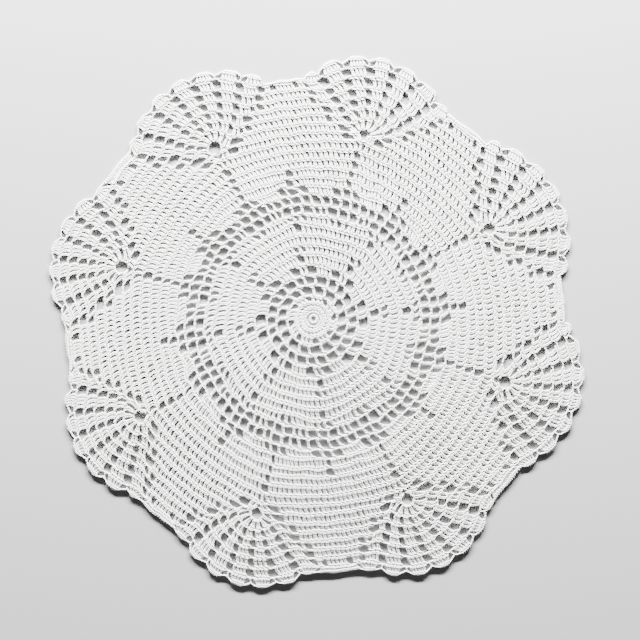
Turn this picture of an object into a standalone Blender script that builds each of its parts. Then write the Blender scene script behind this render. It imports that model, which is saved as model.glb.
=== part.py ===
"""A round crocheted lace doily of white cotton, lying flat.

The doily is one piece of crochet, worked in rounds from a start ring. Eight repeats go around it.
The rounds of the middle are closed and open by turns, a ring of mesh follows, and outside it each
repeat has a closed panel and a fan that grows from an eye. The solid is a flat sheet with the
doily's own uneven outline and the larger openings of its lace cut through.

Layout sizes are millimetres and degrees. The blender objects are in metres, +Z up, and the origin
is at the middle of the underside's box.
"""
import math
from collections import namedtuple

import bmesh
import bpy

MM = 0.001
THICKNESS = 2.0 * MM
COTTON = (0.80, 0.80, 0.79, 1.0)
COTTON_ROUGHNESS = 0.85

# A repeat runs from the middle of one panel to the middle of the next, around one fan.
# panel_at, fan_at: directions of the panel's middle and of the fan; eye_out: distance of the eye;
# reach: eye to the tips of the fan; flare, skew: how much further the fan reaches at its sides,
# and on its left side only; lean: turn of its ribs; band_out: distance of the panel's straight edge
Repeat = namedtuple("Repeat", "panel_at fan_at eye_out reach flare skew lean band_out")
REPEATS = (
    Repeat(6.5, 28.9, 130.1, 50.9, 0.13, 0.00, 1.2, 163.4),
    Repeat(52.5, 75.3, 126.8, 52.0, 0.06, 0.00, 1.0, 162.6),
    Repeat(99.2, 120.0, 131.6, 49.6, 0.10, 0.01, 0.0, 160.6),
    Repeat(143.3, 164.2, 130.9, 46.8, 0.12, -0.02, -0.9, 165.1),
    Repeat(187.3, 208.8, 128.4, 47.9, 0.10, 0.00, -1.0, 162.2),
    Repeat(232.7, 253.7, 129.3, 48.3, 0.09, 0.01, 1.0, 162.3),
    Repeat(276.6, 298.5, 129.8, 50.2, 0.08, 0.03, 1.5, 162.7),
    Repeat(321.7, 343.3, 130.7, 50.8, 0.12, 0.00, 2.6, 164.2),
)

# The rounds aren't quite concentric: how far each one's middle lies from the start ring's.
Drift = namedtuple("Drift", "radius x y")
DRIFTS = (
    Drift(0.0, 0.0, 0.0),
    Drift(19.6, -0.9, -1.2),
    Drift(65.0, -0.65, -2.0),
    Drift(130.0, 0.3, -3.1),
    Drift(196.0, 1.0, -3.3),
)

# Rounds of the middle. at_panel, at_fan: radius of a round's top toward the panels and toward the
# fans; twist: its turn; chart: its stitches in one repeat, the first of them centred on the panel,
# or starting at the panel's middle after a "|". In a chart "7x" is seven posts, "2o" an opening two
# posts wide, "1y" a post of a shell, narrow at its foot, and "0.5v" an opening that is half a post
# wide at its top and closes toward its foot.
Round = namedtuple("Round", "at_panel at_fan twist chart")
SHELL_FOOT = 0.45
CLOSED_FOOT = 0.1
START_RADIUS = 2.6
ROUNDS = (
    Round(8.5, 8.5, 1.0, "2x"),
    Round(16.3, 16.3, 1.0, "0.65v 3x"),
    Round(23.2, 23.2, 1.0, "2.3o 1x 1.8o 1x"),
    Round(30.0, 30.0, 1.2, "1x 2o 1x 2.6o 1x 2o"),
    Round(37.5, 37.2, 1.4, "0.4v 1x 1.9o 4x 1.9o 1x"),
    Round(45.1, 43.8, 1.4, "1.2o 10x"),
    Round(51.3, 50.0, 1.0, "1x 0.55o 10x 0.55o"),
    Round(58.1, 56.2, 0.4, "14x"),
    Round(66.0, 62.4, -0.3, "1o 14x"),
    Round(71.2, 69.2, -0.8, "0.56v 1x 1v 5x 0.4v 1x 0.95v 1x 1v 5x 0.7v 1x"),
    Round(77.4, 76.1, -1.0, "2.2o 1x 2.4o 1x 1o 1x 0.8o 1x 2.2o 1x 2.1o 1x 2.4o 1x 0.8o 1x 1.1o 1x 2.3o 1x"),
    Round(83.9, 82.9, -1.0, "2o 1x 2.1o 1x 1.5o 1x 1.5o 1x 1.7o 1x 1.8o 1x 1.8o 1x 1.5o 1x 1.7o 1x 1.8o 1x"),
    Round(89.5, 90.1, 0.2, "1.8o 1x 2.2o 7x 1.4o 1x 1.7o 1x 1.7o 7x 1.8o 1x"),
    Round(95.3, 97.0, 0.1, "1.2o 13x 0.7o 13x"),
    Round(101.2, 103.2, 0.0, "1.4o 13x 0.7o 13x"),
    Round(107.1, 109.4, 0.0, "| 13x 0.9o 13x"),
    Round(113.0, 116.2, 0.0, "| 13x 1.1o 13x"),
    Round(118.8, 122.8, -0.2, "| 13x 0.4v 1y 0.4v 13x"),
    Round(124.7, 128.0, -0.5, "11x 2o 1x 0.4v 2y 0.4v 1x 2o 10x"),
)

# Outer rounds, each a panel and a fan. at_panel, at_fan: as above, for the panel's line; posts: of
# the panel; panel_end: its ends, in degrees from the fan's direction; share: of the fan's reach;
# spacing, gap: degrees between the fan's columns of openings, and their width; lean: turn of the
# columns; rib: posts between them; side: chart from the panel's end to the first rib.
FanRound = namedtuple("FanRound", "at_panel at_fan posts panel_end share spacing gap lean rib side")
FAN_ROUNDS = (
    FanRound(130.6, 133.2, 21, 8.0, 0.225, 27.0, 11.0, -6.0, 2, "2.2o"),
    FanRound(136.2, 139.5, 15, 11.6, 0.355, 25.0, 8.0, -3.5, 2, "1.2o 1x 0.7o"),
    FanRound(142.0, 145.8, 15, 12.7, 0.480, 23.0, 10.0, -3.3, 2, "2.2o"),
    FanRound(147.6, 152.0, 10, 16.1, 0.610, 22.0, 7.6, -1.8, 3, "1.2o 1x 0.8o"),
    FanRound(153.1, 158.2, 10, 16.6, 0.745, 21.0, 6.2, -0.9, 3, "1.8o"),
    FanRound(159.0, 164.5, 5, 20.0, 0.875, 20.3, 7.4, 0.0, 4, "1.2o 2x 1.6o"),
)
COLUMNS = 6
FAN_TURN = -0.5
FLARE_ANGLE = 60.0

# Beside a fan, the line of a round swings from the panel's end to the fan's first column of
# openings. Its first round starts at the shell below the eye and climbs the eye's ring.
SIDE_SLACK = 0.4
SIDE_STEPS = 12
SIDE_LEAD_IN = 1.0
SIDE_LEAD_OUT = 3.0
SHELL_HALF_ANGLE = 2.4
EYE_SIDE_TURN = 100.0
FOOT_STEPS = 4
EYE_STEPS = 3

# The eyes, where the fans start, and the hole of the start ring.
EYE_RING = 4.4
EYE_ACROSS = 3.6
EYE_ALONG = 2.9
EYE_POINTS = 10
START_HOLE = 1.5
START_POINTS = 8

# The edging: shells on each fan, parted by notches that lie at the columns, and plain bands.
NOTCH_SHARE = 0.945
NOTCH_TURN = 1.0
BAND_END = 17.5
BAND_STEPS = 4
SHELL_STEPS = 6
SHELL_ROUNDNESS = 0.75
END_TIP_SHARE = 1.01

# The openings that are cut: the largest of each repeat, as parts of their stitches' cells.
OPENINGS_PER_REPEAT = 36
LOW, HIGH = 0.08, 0.84
CORNER_ACROSS, CORNER_UP = 0.22, 0.18

Cell = namedtuple("Cell", "open foot_left foot_right head_right head_left")


def repeat(index):
    """Return a repeat by its number, which may run past the last one, with its angles unwrapped."""
    turns, number = divmod(index, len(REPEATS))
    found = REPEATS[number]
    return found._replace(panel_at=found.panel_at + 360 * turns, fan_at=found.fan_at + 360 * turns)


def mix(first, second, share):
    """Return the point at a share of the way between two points."""
    return tuple(a + (b - a) * share for a, b in zip(first, second))


def drift(radius):
    """Return how far the middle of the round of this radius lies from the start ring's."""
    for inner, outer in zip(DRIFTS, DRIFTS[1:]):
        if radius <= outer.radius:
            break
    return mix(inner[1:], outer[1:], (radius - inner.radius) / (outer.radius - inner.radius))


def place(radius, degrees):
    """Return the point at a radius and a direction on the doily's drifting rounds."""
    angle = math.radians(degrees)
    x, y = drift(radius)
    return x + radius * math.cos(angle), y + radius * math.sin(angle)


def round_point(number, index, share):
    """Return a point on the top of a round of the middle, at a share of a repeat's width."""
    index += math.floor(share)
    share -= math.floor(share)
    here, beyond = repeat(index), repeat(index + 1)
    bend = here.fan_at - (here.panel_at + beyond.panel_at) / 2
    degrees = mix((here.panel_at,), (beyond.panel_at,), share)[0] + 4 * bend * share * (1 - share)
    if number < 0:
        return place(START_RADIUS, degrees)
    line = ROUNDS[number]
    panelward = abs(2 * share - 1)
    if line.at_panel > line.at_fan:
        radius = line.at_fan + (line.at_panel - line.at_fan) * panelward ** 2
    else:
        radius = line.at_panel + (line.at_fan - line.at_panel) * (1 - panelward) ** 2
    return place(radius, degrees + line.twist)


def read_chart(chart):
    """Return a chart's items, each as its kind, its width at the top and its width at the foot."""
    items = []
    for word in chart.replace("|", "").split():
        amount, kind = float(word[:-1]), word[-1]
        if kind in "xy":
            items += [("x", 1.0, 1.0 if kind == "x" else SHELL_FOOT)] * int(amount)
        else:
            items.append(("o", amount, amount if kind == "o" else CLOSED_FOOT))
    return items


def edges(widths, lead):
    """Return where items of these widths start and end, as shares of their sum, after a lead."""
    total = sum(widths)
    places = [-lead / total]
    for width in widths:
        places.append(places[-1] + width / total)
    return places


def round_cells(number, index):
    """Return the cells of one repeat of a round of the middle."""
    chart = ROUNDS[number].chart
    items = read_chart(chart)
    centred = 0.0 if chart.startswith("|") else 0.5
    heads = edges([item[1] for item in items], centred * items[0][1])
    feet = edges([item[2] for item in items], centred * items[0][2])
    return [
        Cell(
            item[0] == "o",
            round_point(number - 1, index, feet[n]),
            round_point(number - 1, index, feet[n + 1]),
            round_point(number, index, heads[n + 1]),
            round_point(number, index, heads[n]),
        )
        for n, item in enumerate(items)
    ]


def fan_polar(index, distance, turn):
    """Return the point at a distance from a fan's eye, turned from the fan's direction."""
    fan = repeat(index)
    direction = fan.fan_at + FAN_TURN
    x, y = place(fan.eye_out, direction)
    angle = math.radians(direction + turn)
    return x + distance * math.cos(angle), y + distance * math.sin(angle)


def fan_distance(index, share, turn):
    """Return how far from its eye a fan's line of this share of its reach lies at a turn."""
    fan = repeat(index)
    across = turn / FLARE_ANGLE
    return share * fan.reach * (1 + fan.flare * across ** 2 + fan.skew * across)


def fan_point(index, row, turn):
    """Return a point on the top of a fan's round, or on the ring of its eye before the first."""
    if row < 0:
        return fan_polar(index, EYE_RING, turn)
    return fan_polar(index, fan_distance(index, FAN_ROUNDS[row].share, turn), turn)


def column_turn(index, row, column, side):
    """Return the turn of a column's middle (side 0) or of one of its edges (side -1 or 1)."""
    line = FAN_ROUNDS[max(row, 0)]
    lean = repeat(index).lean + line.lean
    return lean + (column - (COLUMNS - 1) / 2) * line.spacing + side * line.gap / 2


def panel_point(row, index, degrees):
    """Return a point on the top of an outer round's panel, at a direction near this fan."""
    line = FAN_ROUNDS[row] if row >= 0 else ROUNDS[-1]
    off = abs(degrees - repeat(index).fan_at - FAN_TURN) / (180 / len(REPEATS))
    fanward = max(0.0, 1 - off) ** 2
    return place(line.at_panel + (line.at_fan - line.at_panel) * fanward, degrees)


def panel_end(index, row, side, inward=0.0):
    """Return the end of a panel beside a fan, on its clockwise (-1) or its other side (1)."""
    off = FAN_ROUNDS[row].panel_end - inward
    return panel_point(row, index, repeat(index).fan_at + FAN_TURN + side * off)


def outer_column(index, row, side):
    """Return the turn of the outer edge of a fan's outermost column of openings."""
    return column_turn(index, row, 0 if side < 0 else COLUMNS - 1, side)


def side_top(index, row, side):
    """Return the top line of the stitches between a panel's end and a fan's first column."""
    turn = outer_column(index, row, side)
    start, finish = panel_end(index, row, side), fan_point(index, row, turn)
    slack = SIDE_SLACK * math.dist(start, finish)
    ahead = panel_end(index, row, side, SIDE_LEAD_IN)
    behind = fan_point(index, row, turn + side * SIDE_LEAD_OUT)
    handle = mix(start, ahead, slack / math.dist(start, ahead))
    catch = mix(finish, behind, slack / math.dist(finish, behind))
    line = []
    for n in range(SIDE_STEPS + 1):
        t = n / SIDE_STEPS
        first = mix(mix(start, handle, t), mix(handle, catch, t), t)
        second = mix(mix(handle, catch, t), mix(catch, finish, t), t)
        line.append(mix(first, second, t))
    return line


def side_foot(index, row, side):
    """Return the line that those stitches stand on: the round before, from the panel's end."""
    direction = repeat(index).fan_at + FAN_TURN
    start = direction + side * FAN_ROUNDS[row].panel_end
    inner = direction + side * (FAN_ROUNDS[row - 1].panel_end if row else SHELL_HALF_ANGLE)
    places = [start + (inner - start) * n / FOOT_STEPS for n in range(FOOT_STEPS + 1)]
    line = [panel_point(row - 1, index, degrees) for degrees in places]
    if row:
        return line[:-1] + side_top(index, row - 1, side)
    low, high = side * EYE_SIDE_TURN, outer_column(index, 0, side)
    turns = [low + (high - low) * n / EYE_STEPS for n in range(EYE_STEPS + 1)]
    return line + [fan_point(index, -1, turn) for turn in turns]


def along(line, shares):
    """Return the points at shares of a line's length."""
    lengths = [math.dist(a, b) for a, b in zip(line, line[1:])]
    points = []
    for share in shares:
        left = share * sum(lengths)
        number = 0
        while number < len(lengths) - 1 and left > lengths[number]:
            left -= lengths[number]
            number += 1
        points.append(mix(line[number], line[number + 1], left / lengths[number]))
    return points


def panel_cells(index, row):
    """Return the cells of the panel that follows a fan, in an outer round."""
    line = FAN_ROUNDS[row]
    here, beyond = repeat(index).fan_at + FAN_TURN, repeat(index + 1).fan_at + FAN_TURN
    start, finish = here + line.panel_end, beyond - line.panel_end
    cells = []
    for n in range(line.posts):
        left, right = (start + (finish - start) * m / line.posts for m in (n, n + 1))
        corners = []
        for level, degrees in ((row - 1, left), (row - 1, right), (row, right), (row, left)):
            near = index if degrees < (here + beyond) / 2 else index + 1
            corners.append(panel_point(level, near, degrees))
        cells.append(Cell(False, *corners))
    return cells


def rib_cells(index, row):
    """Return the cells of a fan's columns of openings and of the ribs between them."""
    cells = []

    def add(is_open, foot_left, foot_right, head_left, head_right):
        feet = [fan_point(index, row - 1, turn) for turn in (foot_left, foot_right)]
        heads = [fan_point(index, row, turn) for turn in (head_right, head_left)]
        cells.append(Cell(is_open, *feet, *heads))

    for column in range(COLUMNS):
        foot = [column_turn(index, row - 1, column, side) for side in (-1, 1)]
        head = [column_turn(index, row, column, side) for side in (-1, 1)]
        add(True, *foot, *head)
        if column == COLUMNS - 1:
            continue
        foot_span = column_turn(index, row - 1, column + 1, -1) - foot[1]
        head_span = column_turn(index, row, column + 1, -1) - head[1]
        for n in range(FAN_ROUNDS[row].rib):
            left, right = n / FAN_ROUNDS[row].rib, (n + 1) / FAN_ROUNDS[row].rib
            add(
                False,
                foot[1] + foot_span * left,
                foot[1] + foot_span * right,
                head[1] + head_span * left,
                head[1] + head_span * right,
            )
    return cells


def side_cells(index, row, side):
    """Return the cells between a panel's end and a fan's first column of openings."""
    line = FAN_ROUNDS[row]
    items = read_chart(line.side) + [("x", 1.0, 1.0)] * line.rib
    places = edges([item[1] for item in items], 0.0)
    heads = along(side_top(index, row, side), places)
    feet = along(side_foot(index, row, side), places)
    cells = []
    for n, item in enumerate(items):
        left, right = (n, n + 1) if side < 0 else (n + 1, n)
        cells.append(Cell(item[0] == "o", feet[left], feet[right], heads[right], heads[left]))
    return cells


def repeat_cells(index):
    """Return all stitch cells of one repeat."""
    cells = []
    for number in range(len(ROUNDS)):
        cells += round_cells(number, index)
    for row in range(len(FAN_ROUNDS)):
        cells += panel_cells(index, row) + rib_cells(index, row)
        cells += side_cells(index, row, -1) + side_cells(index, row, 1)
    return cells


def area(points):
    """Return the area of a polygon."""
    pairs = zip(points, points[1:] + points[:1])
    return abs(sum(a[0] * b[1] - b[0] * a[1] for a, b in pairs)) / 2


def opening(cell):
    """Return the outline of the gap in an open cell, with its upper corners cut off."""
    def spot(across, up):
        foot = mix(cell.foot_left, cell.foot_right, across)
        return mix(foot, mix(cell.head_left, cell.head_right, across), up)

    return [
        spot(0, LOW),
        spot(1, LOW),
        spot(1, HIGH - CORNER_UP),
        spot(1 - CORNER_ACROSS, HIGH),
        spot(CORNER_ACROSS, HIGH),
        spot(0, HIGH - CORNER_UP),
    ]


def oval(middle, across, along_axis, direction, count):
    """Return points around an ellipse whose second half-width lies along a direction."""
    axis = math.radians(direction)
    points = []
    for n in range(count):
        turn = 2 * math.pi * n / count
        side, out = across * math.sin(turn), along_axis * math.cos(turn)
        x = middle[0] + out * math.cos(axis) - side * math.sin(axis)
        y = middle[1] + out * math.sin(axis) + side * math.cos(axis)
        points.append((x, y))
    return points


def cut_openings():
    """Return the outlines of all openings: the start ring's, the eyes' and the largest others."""
    outlines = [oval(place(0, 0), START_HOLE, START_HOLE, 0, START_POINTS)]
    for index in range(len(REPEATS)):
        direction = repeat(index).fan_at + FAN_TURN
        eye = place(repeat(index).eye_out, direction)
        outlines.append(oval(eye, EYE_ACROSS, EYE_ALONG, direction, EYE_POINTS))
        gaps = [opening(cell) for cell in repeat_cells(index) if cell.open]
        gaps.sort(key=area, reverse=True)
        outlines += gaps[:OPENINGS_PER_REPEAT]
    return outlines


def band_end(index, side):
    """Return where the straight band of the panel beside a fan meets the fan's edging."""
    beside = repeat(index if side < 0 else index + 1)
    return place(beside.band_out, repeat(index).fan_at + FAN_TURN + side * BAND_END)


def notch(index, column):
    """Return the notch of the edging over a column of openings, or the end of the edging."""
    if column < 0:
        return band_end(index, -1)
    if column == COLUMNS:
        return band_end(index, 1)
    turn = column_turn(index, len(FAN_ROUNDS) - 1, column, 0) + NOTCH_TURN
    return fan_polar(index, fan_distance(index, NOTCH_SHARE, turn), turn)


def fan_turn(index, point):
    """Return how far a point's direction from a fan's eye is turned from the fan's direction."""
    direction = repeat(index).fan_at + FAN_TURN
    x, y = place(repeat(index).eye_out, direction)
    degrees = math.degrees(math.atan2(point[1] - y, point[0] - x)) - direction
    return (degrees + 180) % 360 - 180


def shell_line(index, number):
    """Return the outer edge of one shell of a fan's edging, without its last point."""
    left, right = notch(index, number - 1), notch(index, number)
    middle = mix(left, right, 0.5)
    turn = fan_turn(index, middle)
    share = END_TIP_SHARE if number in (0, COLUMNS) else 1.0
    tip = fan_polar(index, fan_distance(index, share, turn), turn)
    rise = (tip[0] - middle[0], tip[1] - middle[1])
    line = []
    for n in range(SHELL_STEPS):
        angle = math.pi * n / SHELL_STEPS
        base = mix(left, right, 0.5 - 0.5 * math.cos(angle))
        height = math.sin(angle) ** SHELL_ROUNDNESS
        line.append((base[0] + rise[0] * height, base[1] + rise[1] * height))
    return line


def outline():
    """Return the doily's outer edge, counter-clockwise."""
    points = []
    for index in range(len(REPEATS)):
        for number in range(COLUMNS + 1):
            points += shell_line(index, number)
        start = repeat(index).fan_at + FAN_TURN + BAND_END
        finish = repeat(index + 1).fan_at + FAN_TURN - BAND_END
        for n in range(BAND_STEPS):
            degrees = start + (finish - start) * n / BAND_STEPS
            points.append(place(repeat(index + 1).band_out, degrees))
    return points


def cotton():
    """Return the white cotton of the thread."""
    material = bpy.data.materials.new("cotton")
    material.use_nodes = True
    shader = material.node_tree.nodes["Principled BSDF"]
    shader.inputs["Base Color"].default_value = COTTON
    shader.inputs["Roughness"].default_value = COTTON_ROUGHNESS
    return material


def flat_sheet(name, outlines, collection):
    """Return a mesh object of a flat sheet, with the first outline filled and the others cut."""
    curve = bpy.data.curves.new(name, "CURVE")
    curve.dimensions = "2D"
    curve.fill_mode = "BOTH"
    curve.extrude = THICKNESS / 2
    for points in outlines:
        spline = curve.splines.new("POLY")
        spline.points.add(len(points) - 1)
        for knot, (x, y) in zip(spline.points, points):
            knot.co = (x * MM, y * MM, 0.0, 1.0)
        spline.use_cyclic_u = True
    drawn = bpy.data.objects.new(name + "_outline", curve)
    collection.objects.link(drawn)
    bpy.context.view_layer.update()
    mesh = bpy.data.meshes.new_from_object(drawn.evaluated_get(bpy.context.evaluated_depsgraph_get()))
    bpy.data.objects.remove(drawn)
    weld = bmesh.new()
    weld.from_mesh(mesh)
    bmesh.ops.remove_doubles(weld, verts=weld.verts, dist=1e-6)
    bmesh.ops.recalc_face_normals(weld, faces=weld.faces)
    weld.to_mesh(mesh)
    weld.free()
    mesh.name = name
    sheet = bpy.data.objects.new(name, mesh)
    collection.objects.link(sheet)
    return sheet


def build_doily():
    """Build the doily with its underside on the ground and its box centred on the origin."""
    collection = bpy.data.collections.new("lace_doily")
    bpy.context.scene.collection.children.link(collection)
    rim = outline()
    middle = [(min(axis) + max(axis)) / 2 for axis in zip(*rim)]
    doily = flat_sheet("doily", [rim] + cut_openings(), collection)
    doily.data.materials.clear()
    doily.data.materials.append(cotton())
    doily.location = (-middle[0] * MM, -middle[1] * MM, THICKNESS / 2)


for old in list(bpy.data.objects):
    bpy.data.objects.remove(old, do_unlink=True)
build_doily()
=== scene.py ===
# %% [markdown]
# # A crocheted lace doily
# The doily is one long white cotton thread, worked round and round into stitches with a hook. It
# could be made as a flat sheet with a stitch pattern in its bump, but then the edges of its holes
# would look cut with a knife. Here every stitch is real thread: a few tubes that loop over and
# under each other, so that light and shadow come from the work itself.
#
# The lesson goes in this order: the fixed frame, the camera, the lights and the table, the
# pattern's layout, one stitch, hand tension, thread, cotton, and the pieces of lace.

# %% Load the fixed frame
import math
import random
from collections import namedtuple

import bpy
import numpy as np
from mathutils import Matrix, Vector, noise


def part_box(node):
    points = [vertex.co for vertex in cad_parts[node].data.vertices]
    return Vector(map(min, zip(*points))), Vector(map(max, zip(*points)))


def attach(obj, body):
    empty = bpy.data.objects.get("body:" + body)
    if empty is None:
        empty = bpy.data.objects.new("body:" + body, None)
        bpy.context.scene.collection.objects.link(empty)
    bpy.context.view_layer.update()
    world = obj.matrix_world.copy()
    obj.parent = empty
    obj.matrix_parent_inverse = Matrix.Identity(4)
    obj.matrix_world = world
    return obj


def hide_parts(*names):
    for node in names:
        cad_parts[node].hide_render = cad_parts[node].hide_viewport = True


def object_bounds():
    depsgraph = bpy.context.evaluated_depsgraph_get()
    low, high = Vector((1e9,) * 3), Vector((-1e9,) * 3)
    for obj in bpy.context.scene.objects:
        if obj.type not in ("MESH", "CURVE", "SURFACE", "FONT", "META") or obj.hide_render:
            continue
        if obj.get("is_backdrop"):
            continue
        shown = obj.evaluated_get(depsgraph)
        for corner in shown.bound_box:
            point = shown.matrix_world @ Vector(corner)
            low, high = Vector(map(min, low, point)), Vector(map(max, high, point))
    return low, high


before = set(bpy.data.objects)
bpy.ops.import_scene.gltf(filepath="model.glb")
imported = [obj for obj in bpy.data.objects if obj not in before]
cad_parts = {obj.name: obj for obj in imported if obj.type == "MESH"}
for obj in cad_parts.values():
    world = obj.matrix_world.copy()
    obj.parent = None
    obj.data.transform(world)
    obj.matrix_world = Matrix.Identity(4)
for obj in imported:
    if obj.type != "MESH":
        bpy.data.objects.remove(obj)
cad_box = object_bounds()
bpy.ops.object.select_all(action="DESELECT")
MM = 0.001
low_corner, high_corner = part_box("doily")
print("sheet to dress, mm:", [round((b - a) / MM, 1) for a, b in zip(low_corner, high_corner)])

# %% [markdown]
# ## Camera
# A doily shows its pattern when it is seen from straight above. A short lens close by would see
# the stitches of the rim from their side, so the camera has a long lens and stands far away.
# Everything below is measured in millimetres from the middle of the start ring; BOX_MIDDLE is
# where the middle of the whole doily lies from there, which is the frame's origin.

# %% Camera straight above the doily
LENS = 100.0
SENSOR = 36.0
IMAGE = 640
MM_PER_PIXEL = 0.6533
VIEW_MIDDLE = (4.31, -0.72)
BOX_MIDDLE = (2.117, -2.190)

camera_height = MM_PER_PIXEL * IMAGE * LENS / SENSOR
bpy.ops.object.camera_add(
    location=(
        (VIEW_MIDDLE[0] - BOX_MIDDLE[0]) * MM,
        (VIEW_MIDDLE[1] - BOX_MIDDLE[1]) * MM,
        camera_height * MM,
    ),
    rotation=(0, 0, 0),
)
camera = bpy.context.object
camera.name = "camera"
camera.data.lens = LENS
camera.data.sensor_width = SENSOR
bpy.context.scene.camera = camera
print("camera height, m:", round(camera_height * MM, 3))

# %% [markdown]
# ## Light
# Relief in white thread shows only when light grazes it. A ring of lamps would flatten it, so one
# long strip stands low, a metre behind the doily: its length keeps shadows soft from side to side,
# and its small depth keeps the shadow under each round of stitches crisp. A weak second lamp, a
# faint room light and the pale table itself keep the shadows from turning black.

# %% Strip lamp, fill and room light
Lamp = namedtuple("Lamp", "name x y z width depth watts")
LAMPS = (
    Lamp("strip_lamp", 0.0, 1.0, 0.33, 1.2, 0.08, 300.0),
    Lamp("fill_lamp", 0.0, -1.2, 1.5, 1.0, 1.0, 2.5),
)
ROOM_LIGHT = 0.08
ROOM_WHITE = (1, 1, 1, 1)

for lamp in LAMPS:
    at = Vector((lamp.x, lamp.y, lamp.z))
    aim = (-at).to_track_quat("-Z", "Y").to_euler()
    bpy.ops.object.light_add(type="AREA", location=at, rotation=aim)
    light = bpy.context.object
    light.name = lamp.name
    light.data.shape = "RECTANGLE"
    light.data.size, light.data.size_y = lamp.width, lamp.depth
    light.data.energy = lamp.watts
    low = math.degrees(math.atan2(at.z, math.hypot(at.x, at.y)))
    print(lamp.name, "shines down at", round(low, 1), "degrees")

room = bpy.data.worlds.new("room")
room.use_nodes = True
backdrop = room.node_tree.nodes["Background"]
backdrop.inputs["Color"].default_value = ROOM_WHITE
backdrop.inputs["Strength"].default_value = ROOM_LIGHT
bpy.context.scene.world = room

# %% [markdown]
# ## Table
# The doily lies flat on a plain pale table top. One large plane is enough; it is stage and isn't
# part of the doily, and its finish comes with the cotton's, further down.

# %% Table top
TABLE_SIZE = 8.0
bpy.ops.mesh.primitive_plane_add(size=TABLE_SIZE, location=(0, 0, 0))
table = bpy.context.object
table.name = "table_top"
table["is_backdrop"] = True
bpy.ops.object.select_all(action="DESELECT")
print("table top, m:", [round(side, 2) for side in table.dimensions])

# %% [markdown]
# ## Pattern: eight repeats
# The pattern is worked eight times round: a plain panel, then a fan that stands on a ring of
# chain, its eye. Handwork is never quite even, so one wedge turned seven times would look like
# a machine's. Each repeat has its own row here instead. Angles are degrees, lengths millimetres.
# - panel_at, fan_at: directions of the panel's middle and of the fan
# - eye_out, reach: distance of the eye, and from it to the fan's tips
# - flare, skew: how much further the fan reaches at both sides, and how much more on its left
# - lean: turn of the fan's ribs; band_out: distance of the panel's straight edge

# %% The eight repeats
Repeat = namedtuple("Repeat", "panel_at fan_at eye_out reach flare skew lean band_out")
REPEATS = (
    Repeat(6.5, 28.9, 130.1, 50.9, 0.13, 0.00, 1.2, 163.4),
    Repeat(52.5, 75.3, 126.8, 52.0, 0.06, 0.00, 1.0, 162.6),
    Repeat(99.2, 120.0, 131.6, 49.6, 0.10, 0.01, 0.0, 160.6),
    Repeat(143.3, 164.2, 130.9, 46.8, 0.12, -0.02, -0.9, 165.1),
    Repeat(187.3, 208.8, 128.4, 47.9, 0.10, 0.00, -1.0, 162.2),
    Repeat(232.7, 253.7, 129.3, 48.3, 0.09, 0.01, 1.0, 162.3),
    Repeat(276.6, 298.5, 129.8, 50.2, 0.08, 0.03, 1.5, 162.7),
    Repeat(321.7, 343.3, 130.7, 50.8, 0.12, 0.00, 2.6, 164.2),
)
FULL_TURN = 360


def repeat(index):
    """Return a repeat by its number, which may run past the last one, its angles unwrapped."""
    turns, number = divmod(index, len(REPEATS))
    found = REPEATS[number]
    return found._replace(
        panel_at=found.panel_at + FULL_TURN * turns, fan_at=found.fan_at + FULL_TURN * turns
    )


print("repeats:", len(REPEATS), "tips at, mm:", [round(r.eye_out + r.reach) for r in REPEATS])

# %% [markdown]
# ## Part of the way
# Nearly every place in the layout lies part of the way between two others. A spreadsheet of
# finished places would say the same, but nobody could change a round in it. Three small helpers
# do the work instead.

# %% Helpers for places between places
def mix(first, second, share):
    """Return the point at a share of the way between two points."""
    return tuple(a + (b - a) * share for a, b in zip(first, second))


def spread(first, last, steps):
    """Return the values at even steps from the first to the last, both of them included."""
    return [first + (last - first) * n / steps for n in range(steps + 1)]


def bulge(share):
    """Return 0 at both ends of a span and 1 at its middle, along a parabola."""
    return 4 * share * (1 - share)


print("quarter steps:", spread(0, 1, 4), "and their bulge:", [bulge(n) for n in spread(0, 1, 4)])

# %% [markdown]
# ## Rounds that drift
# Each round is worked into the one before, and a tight stretch here and there pushes the next
# round to one side. True circles could be used, but then the lace looks drawn with compasses.
# So the middle of each round drifts a little from the start ring's, in steps read between a few
# measured rounds.

# %% A point on a drifting round
Drift = namedtuple("Drift", "radius x y")
DRIFTS = (
    Drift(0.0, 0.0, 0.0),
    Drift(19.6, -0.9, -1.2),
    Drift(65.0, -0.65, -2.0),
    Drift(130.0, 0.3, -3.1),
    Drift(196.0, 1.0, -3.3),
)


def drift(radius):
    """Return how far the middle of the round of this radius lies from the start ring's."""
    for inner, outer in zip(DRIFTS, DRIFTS[1:]):
        if radius <= outer.radius:
            break
    share = (radius - inner.radius) / (outer.radius - inner.radius)
    return mix(inner[1:], outer[1:], share)


def place(radius, degrees):
    """Return the point at a radius and a direction on the doily's drifting rounds."""
    angle = math.radians(degrees)
    x, y = drift(radius)
    return x + radius * math.cos(angle), y + radius * math.sin(angle)


print("drift of the outer rounds, mm:", [round(d, 2) for d in drift(DRIFTS[-1].radius)])

# %% [markdown]
# ## Charts
# A crocheter reads a pattern as a chart, round by round. The holes could be placed one by one, but
# the chart is how the lace is made: count the posts and the holes of a repeat, and the spacing
# takes care of itself. In the charts below:
# - "7x" is seven posts side by side, and "0.2t" one thin post
# - "2o" is a hole two posts wide, with a chain over it
# - "0.5v" is a hole half a post wide at its top that closes toward its foot
# - "1y" is a post that is narrow at its foot
# - "2e" is the ring of chain that makes a fan's eye
#
# A chart's first item is centred on the panel's middle, or starts there after a "|".

# %% Read a chart
FEET = {"v": 0.1, "e": 0.1, "y": 0.45}
HOLES = "ov"
Item = namedtuple("Item", "kind head foot")


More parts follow.
